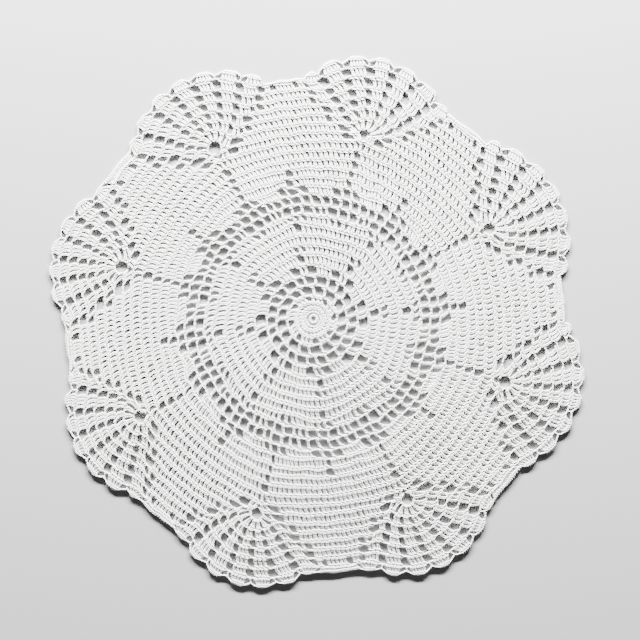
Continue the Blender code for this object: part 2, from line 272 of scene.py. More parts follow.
def read_chart(chart, feet=FEET):
    """Return a chart's items, with their widths at the top and at the foot."""
    items = []
    for word in chart.replace("|", "").split():
        amount, kind = float(word[:-1]), word[-1]
        if kind == "x":
            items += [Item(kind, 1.0, feet.get(kind, 1.0))] * int(amount)
        else:
            items.append(Item(kind, amount, feet.get(kind, amount)))
    return items


def edges(widths, lead=0.0):
    """Return where items of these widths start and end, as shares of their sum, after a lead."""
    total = sum(widths)
    places = [-lead / total]
    for width in widths:
        places.append(places[-1] + width / total)
    return places


print("read back:", [item.kind for item in read_chart("1x 0.9o 2x")])

# %% [markdown]
# ## Rounds of the middle
# Twenty rounds lead from the start ring to the eyes of the fans. Each row gives the radius of
# a round's top toward the panels and toward the fans, because the rounds turn from circles into
# soft octagons, then the round's small twist, and its chart for one repeat.

# %% The charts of the middle
Round = namedtuple("Round", "at_panel at_fan twist chart")
START_RADIUS = 4.1
ROUNDS = (
    Round(7.2, 7.2, 1.0, "2x"),
    Round(11.0, 11.0, 1.0, "3x"),
    Round(16.3, 16.3, 1.0, "1.7v 3x"),
    Round(23.2, 23.2, 1.0, "2.3o 1x 1.8o 1x"),
    Round(30.0, 30.0, 1.2, "1x 2o 1x 2.6o 1x 2o"),
    Round(37.5, 37.2, 1.4, "0.4v 1x 1.9o 4x 1.9o 1x"),
    Round(45.1, 43.8, 1.4, "1.2o 10x"),
    Round(51.3, 50.0, 1.0, "1x 0.55o 10x 0.55o"),
    Round(58.1, 56.2, 0.4, "14x"),
    Round(66.0, 62.4, -0.3, "1o 14x"),
    Round(71.2, 69.2, -0.8, "0.56v 1x 1v 5x 0.4v 1x 0.95v 1x 1v 5x 0.7v 1x"),
    Round(
        77.4, 76.1, -1.0,
        "2.2o 1x 2.4o 1x 1o 1x 0.8o 1x 2.2o 1x 2.1o 1x 2.4o 1x 0.8o 1x 1.1o 1x 2.3o 1x",
    ),
    Round(
        83.9, 82.9, -1.0,
        "2o 1x 2.1o 1x 1.5o 1x 1.5o 1x 1.7o 1x 1.8o 1x 1.8o 1x 1.5o 1x 1.7o 1x 1.8o 1x",
    ),
    Round(89.5, 90.1, 0.2, "1.8o 1x 2.2o 7x 1.4o 1x 1.7o 1x 1.7o 7x 1.8o 1x"),
    Round(95.3, 97.0, 0.1, "1.2o 13x 0.7o 13x"),
    Round(101.2, 103.2, 0.0, "1.4o 13x 0.7o 13x"),
    Round(107.1, 109.4, 0.0, "| 13x 0.9o 13x"),
    Round(113.0, 116.2, 0.0, "| 13x 1.1o 13x"),
    Round(118.8, 122.8, -0.2, "| 13x 0.4v 1y 0.4v 13x"),
    Round(124.7, 128.0, -0.5, "11x 1.6o 1x 0.1v 0.7y 2e 0.7y 0.1v 1x 1.6o 10x"),
)


def round_point(number, index, share):
    """Return a point on the top of a round of the middle, at a share of a repeat's width."""
    index += math.floor(share)
    share -= math.floor(share)
    here, beyond = repeat(index), repeat(index + 1)
    halfway = (here.panel_at + beyond.panel_at) / 2
    degrees = here.panel_at + (beyond.panel_at - here.panel_at) * share
    degrees += (here.fan_at - halfway) * bulge(share)
    if number < 0:
        return place(START_RADIUS, degrees)
    line = ROUNDS[number]
    panelward = abs(2 * share - 1)
    if line.at_panel > line.at_fan:
        radius = line.at_fan + (line.at_panel - line.at_fan) * panelward ** 2
    else:
        radius = line.at_panel + (line.at_fan - line.at_panel) * (1 - panelward) ** 2
    return place(radius, degrees + line.twist)


print("rounds of the middle:", len(ROUNDS), "out to, mm:", ROUNDS[-1].at_fan)

# %% [markdown]
# ## Fans
# A fan opens from its eye in six columns of holes, with ribs of posts between them that grow
# wider outward. It could be drawn as a circle with spokes, but the real ones flare at their sides
# and lean, and the panels between them narrow round by round. One row describes one outer round:
# - at_panel, at_fan: radius of the panel's line at its middle and toward the fan
# - posts, panel_end: posts of the panel, and where it ends, in degrees from the fan's direction
# - share: how much of the fan's reach the round has come to
# - spacing, gap, lean: degrees between columns of holes, their width and their turn
# - rib, side: posts between two columns, and the chart from the panel's end to the first rib

# %% The rounds of fans and panels
FanRound = namedtuple("FanRound", "at_panel at_fan posts panel_end share spacing gap lean rib side")
FAN_ROUNDS = (
    FanRound(130.6, 133.2, 21, 8.0, 0.225, 27.0, 10.0, -6.0, 2, "2.2o"),
    FanRound(136.2, 139.5, 15, 11.6, 0.355, 25.0, 7.4, -3.5, 2, "1.2o 1x 0.7o"),
    FanRound(142.0, 145.8, 15, 12.7, 0.480, 23.0, 9.0, -3.3, 2, "2.2o"),
    FanRound(147.6, 152.0, 10, 16.1, 0.610, 22.0, 6.9, -1.8, 3, "1.2o 1x 0.8o"),
    FanRound(153.1, 158.2, 10, 16.6, 0.745, 21.0, 5.9, -0.9, 3, "1.8o"),
    FanRound(159.0, 164.5, 5, 20.0, 0.875, 20.3, 7.4, 0.0, 4, "1.2o 2x 1.6o"),
)
LAST_FAN_ROUND = len(FAN_ROUNDS) - 1
COLUMNS = 6
FAN_TURN = -0.5
FLARE_ANGLE = 60.0
EYE_RING = 4.4


def fan_heading(index):
    """Return the direction that a fan opens in."""
    return repeat(index).fan_at + FAN_TURN


def fan_polar(index, distance, turn):
    """Return the point at a distance from a fan's eye, turned from the fan's direction."""
    x, y = place(repeat(index).eye_out, fan_heading(index))
    angle = math.radians(fan_heading(index) + turn)
    return x + distance * math.cos(angle), y + distance * math.sin(angle)


def fan_distance(index, share, turn):
    """Return how far from its eye a fan's line of this share of its reach lies at a turn."""
    fan = repeat(index)
    across = turn / FLARE_ANGLE
    return share * fan.reach * (1 + fan.flare * across ** 2 + fan.skew * across)


def fan_point(index, row, turn):
    """Return a point on the top of a fan's round, or on the ring of its eye before the first."""
    if row < 0:
        return fan_polar(index, EYE_RING, turn)
    return fan_polar(index, fan_distance(index, FAN_ROUNDS[row].share, turn), turn)


def column_turn(index, row, column, side):
    """Return the turn of a column's middle (side 0) or of one of its edges (side -1 or 1)."""
    line = FAN_ROUNDS[max(row, 0)]
    lean = repeat(index).lean + line.lean
    return lean + (column - (COLUMNS - 1) / 2) * line.spacing + side * line.gap / 2


def outer_column(index, row, side):
    """Return the turn of the outer edge of a fan's outermost column of holes."""
    return column_turn(index, row, 0 if side < 0 else COLUMNS - 1, side)


print("fan rounds:", len(FAN_ROUNDS), "reach of the fans, mm:", [r.reach for r in REPEATS])

# %% [markdown]
# ## Panels beside the fans
# A panel's rounds are nearly straight, and swing out toward a fan at both ends. Where a panel ends
# its line dives smoothly toward the fan's outer holes. A straight join would leave a kink, so the
# line is a Bezier curve with its two handles laid along the panel and along the fan.

# %% Lines of the panels and of their corners
SIDE_SLACK = 0.4
SIDE_STEPS = 12
LOOK_AHEAD = 1.0
LOOK_BEHIND = 3.0


def panel_point(row, index, degrees):
    """Return a point on the top of an outer round's panel, at a direction near this fan."""
    line = FAN_ROUNDS[row] if row >= 0 else ROUNDS[-1]
    off = abs(degrees - fan_heading(index)) / (FULL_TURN / 2 / len(REPEATS))
    fanward = max(0.0, 1 - off) ** 2
    return place(line.at_panel + (line.at_fan - line.at_panel) * fanward, degrees)


def panel_line(row, index, directions):
    """Return the points of the panel that follows a fan, at directions between its two fans."""
    halfway = (fan_heading(index) + fan_heading(index + 1)) / 2
    points = []
    for degrees in directions:
        near = index if degrees < halfway else index + 1
        points.append(panel_point(row, near, degrees))
    return points


def panel_end(index, row, side, inward=0.0):
    """Return the end of a panel beside a fan, on its clockwise (-1) or its other side (1)."""
    off = FAN_ROUNDS[row].panel_end - inward
    return panel_point(row, index, fan_heading(index) + side * off)


def side_top(index, row, side):
    """Return the top line of the stitches between a panel's end and a fan's first column."""
    turn = outer_column(index, row, side)
    start, finish = panel_end(index, row, side), fan_point(index, row, turn)
    slack = SIDE_SLACK * math.dist(start, finish)
    ahead = panel_end(index, row, side, LOOK_AHEAD)
    behind = fan_point(index, row, turn + side * LOOK_BEHIND)
    handle = mix(start, ahead, slack / math.dist(start, ahead))
    catch = mix(finish, behind, slack / math.dist(finish, behind))
    line = []
    for t in spread(0, 1, SIDE_STEPS):
        first = mix(mix(start, handle, t), mix(handle, catch, t), t)
        second = mix(mix(handle, catch, t), mix(catch, finish, t), t)
        line.append(mix(first, second, t))
    return line


side_length = sum(math.dist(a, b) for a, b in zip(side_top(0, 0, 1), side_top(0, 0, 1)[1:]))
print("a first corner line, mm:", round(side_length, 1))

# %% [markdown]
# ## Where those corner stitches stand
# Every stitch stands on the round below. At a corner that is a bent line: the end of the panel
# below, then the corner line of the round below, or the side of the eye for the first round. The
# stitches are spread evenly along it by length, as a crocheter does without thinking.

# %% Foot lines of the corners
FOOT_STEPS = 4
EYE_STEPS = 3
EYE_SIDE = 100.0
FIRST_FOOT = 2.4


def side_foot(index, row, side):
    """Return the line that the stitches of a corner stand on, from the panel's end."""
    start = fan_heading(index) + side * FAN_ROUNDS[row].panel_end
    inner_end = FAN_ROUNDS[row - 1].panel_end if row else FIRST_FOOT
    inner = fan_heading(index) + side * inner_end
    line = [panel_point(row - 1, index, degrees) for degrees in spread(start, inner, FOOT_STEPS)]
    if row:
        return line[:-1] + side_top(index, row - 1, side)
    turns = spread(side * EYE_SIDE, outer_column(index, 0, side), EYE_STEPS)
    return line + [fan_point(index, -1, turn) for turn in turns]


def along(line, shares):
    """Return the points at shares of a line's length."""
    lengths = [math.dist(a, b) for a, b in zip(line, line[1:])]
    points = []
    for share in shares:
        left = share * sum(lengths)
        number = 0
        while number < len(lengths) - 1 and left > lengths[number]:
            left -= lengths[number]
            number += 1
        points.append(mix(line[number], line[number + 1], left / lengths[number]))
    return points


middle_of_foot = along(side_foot(0, 1, 1), [0.5])[0]
print("middle of a foot line, mm:", [round(value, 1) for value in middle_of_foot])

# %% [markdown]
# ## Cells
# Every post and every hole fills one cell: four corners, two at its foot on the round below and
# two at its head. Working in cells keeps the pattern apart from the thread: the same stitch can
# later be stretched over any cell, wide or narrow, as it is in real lace. One helper makes the
# cells between a foot line and a head line. First come the cells of the middle, with the ring of
# chain round each eye.

# %% Cells of the middle
EYE_LINKS = 8
EYE_TURN = 178.0
EYE_INNER = EYE_RING / 3
EYE_OUTER = 4.6
Cell = namedtuple("Cell", "open foot_left foot_right head_right head_left")


def cells_between(kinds, feet, heads):
    """Return one cell for each kind of item, between the points of its foot and its head line."""
    return [
        Cell(kind in HOLES, feet[n], feet[n + 1], heads[n + 1], heads[n])
        for n, kind in enumerate(kinds)
    ]


def eye_cells(index):
    """Return the cells of the ring of chain that closes an eye."""
    turns = spread(-EYE_TURN, EYE_TURN, EYE_LINKS)
    inner, outer = ([fan_polar(index, r, turn) for turn in turns] for r in (EYE_INNER, EYE_OUTER))
    return cells_between("o" * EYE_LINKS, inner, outer)


def round_cells(number, index):
    """Return the cells of one repeat of a round of the middle."""
    chart = ROUNDS[number].chart
    items = read_chart(chart)
    kinds, head_widths, foot_widths = zip(*items)
    centred = 0.0 if chart.startswith("|") else 0.5
    feet, heads = (
        [round_point(line, index, share) for share in edges(widths, centred * widths[0])]
        for line, widths in ((number - 1, foot_widths), (number, head_widths))
    )
    cells = []
    for kind, cell in zip(kinds, cells_between(kinds, feet, heads)):
        cells += eye_cells(index) if kind == "e" else [cell]
    return cells


def middle_round(number):
    """Return the cells of a whole round of the middle, in order."""
    return [cell for index in range(len(REPEATS)) for cell in round_cells(number, index)]


middle_cells = [cell for number in range(len(ROUNDS)) for cell in middle_round(number)]
print("cells of the middle:", len(middle_cells), "holes:", sum(c.open for c in middle_cells))

# %% [markdown]
# ## Cells of fans and panels
# An outer round goes: corner, six columns of holes with their ribs, the other corner, panel, and
# on to the next fan. Each kind has its own little rule, and the last function strings them
# together in the order they are worked, because neighbours share their chain.

# %% Cells of the outer rounds
def panel_cells(index, row):
    """Return the cells of the panel that follows a fan, in an outer round."""
    line = FAN_ROUNDS[row]
    start, finish = fan_heading(index) + line.panel_end, fan_heading(index + 1) - line.panel_end
    directions = spread(start, finish, line.posts)
    feet, heads = (panel_line(level, index, directions) for level in (row - 1, row))
    return cells_between("x" * line.posts, feet, heads)


def rib_points(index, level, posts):
    """Return the points where a fan's holes and the posts of its ribs meet, along one round."""
    turns = []
    for column in range(COLUMNS):
        left, right = (column_turn(index, level, column, side) for side in (-1, 1))
        if column:
            turns += spread(turns[-1], left, posts)[1:-1]
        turns += [left, right]
    return [fan_point(index, level, turn) for turn in turns]


def rib_cells(index, row):
    """Return the cells of a fan's columns of holes and of the ribs between them."""
    posts = FAN_ROUNDS[row].rib
    kinds = ("o" + "x" * posts) * (COLUMNS - 1) + "o"
    feet, heads = (rib_points(index, level, posts) for level in (row - 1, row))
    return cells_between(kinds, feet, heads)


def side_cells(index, row, side):
    """Return the cells between a panel's end and a fan's first column, in the order worked."""
    line = FAN_ROUNDS[row]
    kinds, widths, _ = zip(*read_chart(f"{line.side} {line.rib}x"))
    places = edges(widths)
    heads = along(side_top(index, row, side), places)
    feet = along(side_foot(index, row, side), places)
    # All lines start at the panel, so beyond the fan they are turned round.
    return cells_between(kinds[::-side], feet[::-side], heads[::-side])


def fan_round_cells(row):
    """Return the cells of a whole outer round, in order."""
    cells = []
    for index in range(len(REPEATS)):
        cells += side_cells(index, row, -1) + rib_cells(index, row)
        cells += side_cells(index, row, 1) + panel_cells(index, row)
    return cells


outer_cells = [cell for row in range(len(FAN_ROUNDS)) for cell in fan_round_cells(row)]
print("cells of the outer rounds:", len(outer_cells), "holes:", sum(c.open for c in outer_cells))

# %% [markdown]
# ## Edging
# The last round is a row of shells: five posts close together, under an arch of chain that comes
# down to a notch over each column of holes. On the panels it turns into a straight band of short
# posts. A row of half circles would do for a toy doily. Here the arches stand a little
# high-shouldered between notches that follow the fan's own flare.

# %% Arches and notches
NOTCH_SHARE = 0.945
NOTCH_TURN = 1.0
BAND_END = 17.5
END_TIP_SHARE = 1.01
EDGE_INSET = 0.75
SHOULDER = 0.75
ARCH_POINTS = 24


def band_end(index, side):
    """Return where the straight band of the panel beside a fan meets the fan's edging."""
    beside = repeat(index if side < 0 else index + 1)
    return place(beside.band_out, fan_heading(index) + side * BAND_END)


def notch(index, column):
    """Return the notch of the edging over a column of holes, or the end of the edging."""
    if column < 0:
        return band_end(index, -1)
    if column == COLUMNS:
        return band_end(index, 1)
    turn = column_turn(index, LAST_FAN_ROUND, column, 0) + NOTCH_TURN
    return fan_polar(index, fan_distance(index, NOTCH_SHARE, turn), turn)


def fan_turn(index, point):
    """Return how far a point's direction from a fan's eye is turned from the fan's direction."""
    x, y = place(repeat(index).eye_out, fan_heading(index))
    degrees = math.degrees(math.atan2(point[1] - y, point[0] - x)) - fan_heading(index)
    return (degrees + FULL_TURN / 2) % FULL_TURN - FULL_TURN / 2


def arch(index, number):
    """Return the line of a shell's arch of chain, just inside the doily's outer edge."""
    left, right = notch(index, number - 1), notch(index, number)
    middle = mix(left, right, 0.5)
    turn = fan_turn(index, middle)
    share = END_TIP_SHARE if number in (0, COLUMNS) else 1.0
    tip = fan_polar(index, fan_distance(index, share, turn) - EDGE_INSET, turn)
    rise = Vector(tip) - Vector(middle)
    sink = rise.normalized() * EDGE_INSET
    line = []
    for angle in spread(0, math.pi, ARCH_POINTS):
        base = Vector(mix(left, right, 0.5 - 0.5 * math.cos(angle)))
        up = math.sin(angle) ** SHOULDER
        line.append(tuple(base - sink + (rise + sink) * up))
    return line


span = math.dist(notch(0, 2), notch(0, 3))
print("a shell from notch to notch, mm:", round(span, 1))

# %% [markdown]
# ## Posts of the edging
# A shell starts with one thin post. Its five posts draw in a little toward the top, and the arch
# leans away from them on both sides, which leaves two small holes, narrow at the foot and wide at
# the top. One chart says all this, with widths of its own at the foot. The band's posts are short
# and even.

# %% Cells of the edging
SHELL_CHART = "0.2t 3.3v 5x 4.8v"
SHELL_FEET = {"x": 0.9, "v": 0.7}
SIDE_SHARE = 0.15
BAND_POSTS = 16
SHELL_FOOT_STEPS = 6
BAND_FOOT_STEPS = 8
BAND_HEAD_STEPS = 12


def shell_foot(index, number):
    """Return the part of a fan's last round that a shell stands on."""
    if number in (0, COLUMNS):
        side = -1 if number == 0 else 1
        points = side_top(index, LAST_FAN_ROUND, side)
        points = points[round(SIDE_SHARE * len(points)):]
        column = 0 if number == 0 else COLUMNS - 1
        turn = column_turn(index, LAST_FAN_ROUND, column, 0)
        points.append(fan_point(index, LAST_FAN_ROUND, turn))
        return points if number == 0 else points[::-1]
    left, right = (column_turn(index, LAST_FAN_ROUND, m, 0) for m in (number - 1, number))
    turns = spread(left, right, SHELL_FOOT_STEPS)
    return [fan_point(index, LAST_FAN_ROUND, turn) for turn in turns]


def shell_cells(index, number):
    """Return the cells of one shell of a fan's edging."""
    kinds, head_widths, foot_widths = zip(*read_chart(SHELL_CHART, SHELL_FEET))
    heads = along(arch(index, number), edges(head_widths))
    feet = along(shell_foot(index, number), edges(foot_widths))
    return cells_between(kinds, feet, heads)


def band_cells(index):
    """Return the cells of the short posts along the panel that follows a fan."""
    before = side_top(index, LAST_FAN_ROUND, 1)
    after = side_top(index + 1, LAST_FAN_ROUND, -1)
    cut = round(SIDE_SHARE * len(before))
    start, finish = fan_heading(index), fan_heading(index + 1)
    end = FAN_ROUNDS[LAST_FAN_ROUND].panel_end
    directions = spread(start + end, finish - end, BAND_FOOT_STEPS)
    middle = panel_line(LAST_FAN_ROUND, index, directions)
    foot = before[1:cut + 1][::-1] + middle + after[1:cut + 1]
    out = repeat(index + 1).band_out - EDGE_INSET
    directions = spread(start + BAND_END, finish - BAND_END, BAND_HEAD_STEPS)
    head = [place(out, degrees) for degrees in directions]
    feet, heads = (along(line, spread(0, 1, BAND_POSTS)) for line in (foot, head))
    return cells_between("x" * BAND_POSTS, feet, heads)


def edging_cells():
    """Return the cells of the edging round, in order."""
    cells = []
    for index in range(len(REPEATS)):
        for number in range(COLUMNS + 1):
            cells += shell_cells(index, number)
        cells += band_cells(index)
    return cells


print("cells of the edging:", len(edging_cells()))

# %% [markdown]
# ## One stitch
# A stitch is a tall post with a little chain along its head. One strand makes the post's two legs:
# it comes down from the head, loops over the chain below, dips, loops over it again and goes back
# up. A second strand wraps round the legs and crosses them twice on a slant, and the chain has a
# front and a back strand that lie along the round like a rope. One could model it by hand once and
# bend copies, but stitches differ so much in width that a list of knots is simpler: each knot says
# where the thread passes, across the cell and up it, in shares of the cell, and how high above the
# table, in millimetres. "lift" moves it up the cell by millimetres, so that the part near the
# chain keeps its size in tall and short stitches alike.

# %% Knots of a post
Knot = namedtuple("Knot", "across up lift height")
LEGS = (
    Knot(0.60, 0.90, 0.00, 1.12),
    Knot(0.26, 0.52, 0.00, 0.90),
    Knot(0.09, 0.00, 1.30, 1.12),
    Knot(0.25, 0.00, 0.60, 1.50),
    Knot(0.44, 0.00, 0.05, 0.55),
    Knot(0.62, 0.00, 0.60, 1.50),
    Knot(0.46, 0.00, 1.30, 1.12),
    Knot(0.61, 0.52, 0.00, 0.90),
    Knot(0.92, 0.90, 0.00, 1.12),
    Knot(1.24, 1.06, -0.30, 0.60),
)
WRAP = (
    Knot(-0.04, 0.28, 0.00, 0.48),
    Knot(0.12, 0.35, 0.00, 0.90),
    Knot(0.53, 0.46, 0.00, 1.06),
    Knot(0.73, 0.55, 0.00, 0.60),
    Knot(0.20, 0.67, 0.00, 0.72),
    Knot(0.50, 0.74, 0.00, 1.20),
    Knot(0.90, 0.79, 0.00, 1.28),
    Knot(1.26, 0.84, 0.00, 1.25),
    Knot(1.46, 0.92, 0.00, 0.95),
)
print("knots of a post's legs and wrap:", len(LEGS), len(WRAP))

# %% [markdown]
# ## Chain
# Over a post the chain lies in a fixed place, its front strand toward the middle of the doily and
# its back strand away from it. Over a hole it hangs free, as narrow links side by side, with one
# more strand running below them, the way a real chain has three. A wide hole takes more links.

# %% Knots of the chain
FRONT_CHAIN = (
    Knot(0.08, 1.00, -0.10, 1.15),
    Knot(0.48, 1.00, 0.00, 1.36),
    Knot(0.88, 1.00, 0.30, 1.10),
)
BACK_CHAIN = (
    Knot(0.08, 1.00, 0.85, 1.00),
    Knot(0.48, 1.00, 0.75, 1.10),
    Knot(0.88, 1.00, 0.40, 0.95),
)
FREE_FRONT = (
    Knot(0.08, 1.00, -0.30, 1.05),
    Knot(0.48, 1.00, -0.22, 1.35),
    Knot(0.88, 1.00, 0.05, 1.05),
)
FREE_BACK = (
    Knot(0.08, 1.00, 0.22, 1.05),
    Knot(0.48, 1.00, 0.16, 1.30),
    Knot(0.88, 1.00, -0.05, 1.00),
)
UNDER_CHAIN = (
    Knot(0.25, 1.00, -0.05, 0.60),
    Knot(0.75, 1.00, -0.05, 0.60),
)
LINK = 2.6
print("knots of one link:", len(FREE_FRONT) + len(FREE_BACK) + len(UNDER_CHAIN))

# %% [markdown]
# ## Work a round
# Each cell gets its own small faults: a post leans, sits a little left or right or comes out
# taller or shorter, and a chain over a hole hangs or bows. A post that stands alone between two
# holes leans most, and mostly one way. Noise added to the finished mesh would only make the thread
# lumpy, so the faults are given to whole stitches. The random numbers start from a fixed seed, and
# the doily comes out the same every time.

# %% Strands of a round
SHIFT = 0.07
TILT = 0.05
ALONE_LEAN = 0.12
ALONE_TILT = 0.20
PULL = 0.05
SAG = 0.55
BOW_SHARE = 0.6
SEED = 14
hand = random.Random(SEED)
Strand = namedtuple("Strand", "path closed")


def spot(cell, knot, across, more_lift=0.0):
    """Return the place of a knot in a cell, at its own share of the cell's width."""
    foot = mix(cell.foot_left, cell.foot_right, across)
    head = mix(cell.head_left, cell.head_right, across)
    x, y = mix(foot, head, knot.up + (knot.lift + more_lift) / math.dist(foot, head))
    return x, y, knot.height


def strand(cell, knots, shift, lean, pull):
    """Return a strand's path in a cell, moved and leant by shares of the cell's width."""
    path = []
    for knot in knots:
        across = knot.across + shift + lean * (knot.up - 0.5)
        path.append(spot(cell, knot, across, pull * knot.up))
    return path


def links(cell, knots, count=1, sag=0.0):
    """Return the path of a chain of this many links along a cell's head."""
    path = []
    for n in range(count):
        for knot in knots:
            across = (n + knot.across) / count
            path.append(spot(cell, knot, across, sag * bulge(across)))
    return path


def work_round(cells):
    """Return the closed threads and the short wraps of one round of stitches."""
    legs, front, back, wraps = [], [], [], []
    for number, cell in enumerate(cells):
        if cells[number - 1].open and cells[(number + 1) % len(cells)].open:
            lean = ALONE_LEAN + hand.uniform(-1, 1) * ALONE_TILT
        else:
            lean = hand.uniform(-1, 1) * TILT
        shift = hand.uniform(-1, 1) * SHIFT
        pull = hand.uniform(-1, 1) * PULL
        sag = hand.uniform(-BOW_SHARE, 1) * SAG
        if cell.open:
            count = max(1, round(math.dist(cell.head_left, cell.head_right) / LINK))
            legs += links(cell, UNDER_CHAIN, 1, sag)
            front += links(cell, FREE_FRONT, count, sag)
            back += links(cell, FREE_BACK, count, sag)
        else:
            legs += strand(cell, LEGS, shift, lean, pull)
            wraps.append(strand(cell, WRAP, shift, lean, pull))
            front += links(cell, FRONT_CHAIN)
            back += links(cell, BACK_CHAIN)
    closed = [Strand(path, True) for path in (legs, front, back)]
    return closed + [Strand(path, False) for path in wraps]


print("one post takes", len(LEGS + WRAP + FRONT_CHAIN + BACK_CHAIN), "knots; hand seed", SEED)

# %% [markdown]
# ## Slow wander
# Besides the small faults, whole stretches of lace lie a little to one side, because damp lace
# was pinned out by hand and shrank unevenly. A smooth noise that changes over several stitches
# moves all threads together, so nothing tears. The mesh of large holes gives way most, and the
# start ring and the outer edge least. This noise has a seed of its own, which Blender otherwise
# takes from the clock.

# %% Pin out the strands
Wander = namedtuple("Wander", "radius amount")
WANDERS = (
    Wander(0.0, 0.2),
    Wander(18.0, 0.9),
    Wander(40.0, 0.9),
    Wander(60.0, 0.7),
    Wander(76.0, 1.6),
    Wander(92.0, 1.6),
    Wander(106.0, 0.8),
    Wander(130.0, 1.0),
    Wander(160.0, 1.1),
    Wander(175.0, 0.7),
)
WANDER_SPAN = 8.0
WANDER_SEED = 3
noise.seed_set(WANDER_SEED)


def pinned_out(strands):
    """Return the strands with the slow wander of lace that was pinned out by hand."""
    moved = []
    for one in strands:
        path = []
        for x, y, z in one.path:
            push = noise.noise_vector(Vector((x, y, 0.0)) / WANDER_SPAN)
            amount = np.interp(math.hypot(x, y), *zip(*WANDERS))
            path.append((x + amount * push.x, y + amount * push.y, z))
        moved.append(Strand(path, one.closed))
    return moved


print("most wander, mm:", max(wander.amount for wander in WANDERS))

# %% [markdown]
# ## From strand to thread
# A strand is a line of knots, and the thread is a tube around it. Curve objects with a bevel would
# do this too, but their caps and seams are harder to control over thousands of strands. So each
# knot gets a ring of four corners, kept from twisting by carrying one ring's direction on to the
# next, and smooth shading rounds the tube: at this size more corners can't be seen, and thousands
# of stitches stay light. The ends of short strands are closed.
# The UV map "thread" holds millimetres along the thread in U and the way round it in V, and its
# cotton's twist follows it. On a closed round the length is trimmed to whole turns of the twist,
# so that the pattern meets itself.

# %% Sweep a ring of corners along each strand
SIDES = 4
THREAD_RADIUS = 0.46
TWIST = 3.0


def unit(vectors):
    """Return the vectors at length one."""
    return vectors / np.linalg.norm(vectors, axis=1)[:, None]


def carried(ahead, closed):
    """Return two directions across each knot's direction ahead, carried on without a twist."""
    side = Vector(ahead[0]).orthogonal().normalized()
    sides = [side.copy()]
    for before, after in zip(ahead, ahead[1:]):
        side.rotate(Vector(before).rotation_difference(Vector(after)))
        sides.append(side.copy())
    sides = np.array(sides)
    across = np.cross(ahead, sides)
    if closed:
        side.rotate(Vector(ahead[-1]).rotation_difference(Vector(ahead[0])))
        left_over = math.atan2(np.dot(side, across[0]), np.dot(side, sides[0]))
        turn = -left_over * np.arange(len(ahead))[:, None] / len(ahead)
        sides, across = (
            np.cos(turn) * sides + np.sin(turn) * across,
            np.cos(turn) * across - np.sin(turn) * sides,
        )
    return sides, across


def tube(one, radius):
    """Return the vertices, faces and thread UVs of a closed tube around a strand."""
    path = np.array(one.path, float)
    ahead = np.roll(path, -1, axis=0) - np.roll(path, 1, axis=0)
    if not one.closed:
        ahead[0], ahead[-1] = path[1] - path[0], path[-1] - path[-2]
    ahead = unit(ahead)
    sides, across = carried(ahead, one.closed)
    ring = ((np.arange(SIDES) + 0.5) * 2 * math.pi / SIDES)[None, :, None]
    rings = path[:, None] + radius * (
        np.cos(ring) * sides[:, None] + np.sin(ring) * across[:, None]
    )
    steps = np.linalg.norm(np.roll(path, -1, axis=0) - path, axis=1)
    run = np.concatenate([[0], np.cumsum(steps)])
    if one.closed:
        run *= round(run[-1] / TWIST) * TWIST / run[-1]
    here = np.arange(len(path) if one.closed else len(path) - 1)
    there = (here + 1) % len(path)
    low, high = run[here], run[here + 1]
    faces, uvs = [], []
    for side in range(SIDES):
        beside = (side + 1) % SIDES
        corners = (here * SIDES + side, here * SIDES + beside)
        corners += (there * SIDES + beside, there * SIDES + side)
        faces.append(np.stack(corners, axis=1))
        left = np.full(len(here), side / SIDES)
        right = left + 1 / SIDES
        uvs.append(np.stack([low, left, low, right, high, right, high, left], axis=1))
    if not one.closed:
        last = (len(path) - 1) * SIDES
        first_cap = list(range(SIDES))[::-1]
        faces.append(np.array([first_cap, [last + side for side in range(SIDES)]]))
        uvs.append(np.zeros((2, 2 * SIDES)))
    return rings.reshape(-1, 3), np.vstack(faces), np.vstack(uvs)


sample = tube(Strand([(0, 0, 0), (1, 0, 0), (2, 1, 0)], False), THREAD_RADIUS)
print("a tube of three knots:", len(sample[0]), "vertices,", len(sample[1]), "faces")

# %% [markdown]
# ## One joined mesh for many stitches
# Thousands of separate objects would be slow to handle, so the tubes of several rounds are joined
# into one mesh. Their corners go into the mesh as whole arrays, which takes a moment where adding
# faces one at a time would take minutes. Each face is wound so that it points outward.

# %% Join tubes into a piece of lace
def thread_piece(name, strands):
    """Return a mesh object of threads, in metres, around the middle of the doily's box."""
    vertices, faces, uvs = [], [], []
    count = 0
    for one in strands:
        points, quads, map_points = tube(one, THREAD_RADIUS)
        vertices.append(points)
        faces.append(quads + count)
        uvs.append(map_points)
        count += len(points)
    vertices, faces, uvs = np.vstack(vertices), np.vstack(faces), np.vstack(uvs)
    vertices = (vertices - np.array([*BOX_MIDDLE, 0.0])) * MM
    mesh = bpy.data.meshes.new(name)
    mesh.vertices.add(len(vertices))
    mesh.vertices.foreach_set("co", vertices.ravel())
    mesh.loops.add(faces.size)
    mesh.loops.foreach_set("vertex_index", faces.ravel())
    mesh.polygons.add(len(faces))
    mesh.polygons.foreach_set("loop_start", np.arange(0, faces.size, SIDES))
    mesh.polygons.foreach_set("loop_total", np.full(len(faces), SIDES))
    mesh.polygons.foreach_set("use_smooth", np.ones(len(faces), bool))
    mesh.uv_layers.new(name="thread").data.foreach_set("uv", uvs.ravel())
    mesh.update(calc_edges=True)
    mesh.validate()
    piece = bpy.data.objects.new(name, mesh)
    bpy.context.scene.collection.objects.link(piece)
    print(name, "strands:", len(strands), "triangles:", 2 * len(faces), flush=True)
    return piece


print("corners round a thread:", SIDES, "thickness, mm:", 2 * THREAD_RADIUS)

